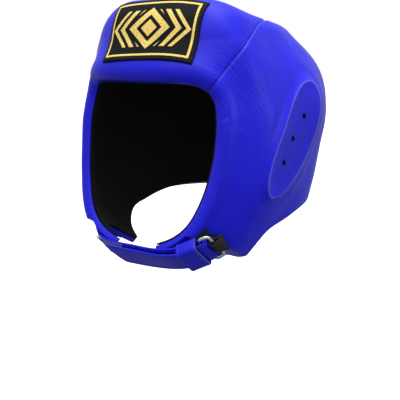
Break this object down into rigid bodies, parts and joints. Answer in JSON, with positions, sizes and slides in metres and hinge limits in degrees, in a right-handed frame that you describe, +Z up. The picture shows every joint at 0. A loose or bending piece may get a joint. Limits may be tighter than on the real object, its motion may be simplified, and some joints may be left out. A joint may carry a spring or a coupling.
{
  "type": "open-face boxing headgear",
  "caption": "Open-face padded leather boxing headgear with an open crown, oval ear cups, a woven front patch and a chin strap fastened back through a wire ring.",
  "frame": {"origin": "top of the wearer's head, inside the crown opening, where the headgear sits", "axes": "+Z up, the face opening looks along -Y, +X to the wearer's left where the ring is"},
  "size_m": [0.227, 0.2338, 0.2394],
  "materials": {
    "leather_blue": "smooth coated cowhide, soft sheen",
    "strap_leather": "coated leather strap with raw cut edges",
    "lining_black": "matt brushed lining",
    "woven_patch": "fine black satin weave with a gold thread border",
    "webbing_black": "plain woven webbing",
    "ring_metal": "nickel-plated wire"
  },
  "bodies": {
    "root": {"forehead_pad": "leather_blue", "left_side_pad": "leather_blue", "right_side_pad": "leather_blue", "lining": "lining_black", "front_patch": "woven_patch", "back_strap": "strap_leather", "chin_strap": "strap_leather", "strap_keeper": "strap_leather", "ring_tab": "webbing_black", "strap_ring": "ring_metal"}
  },
  "joints": []
}
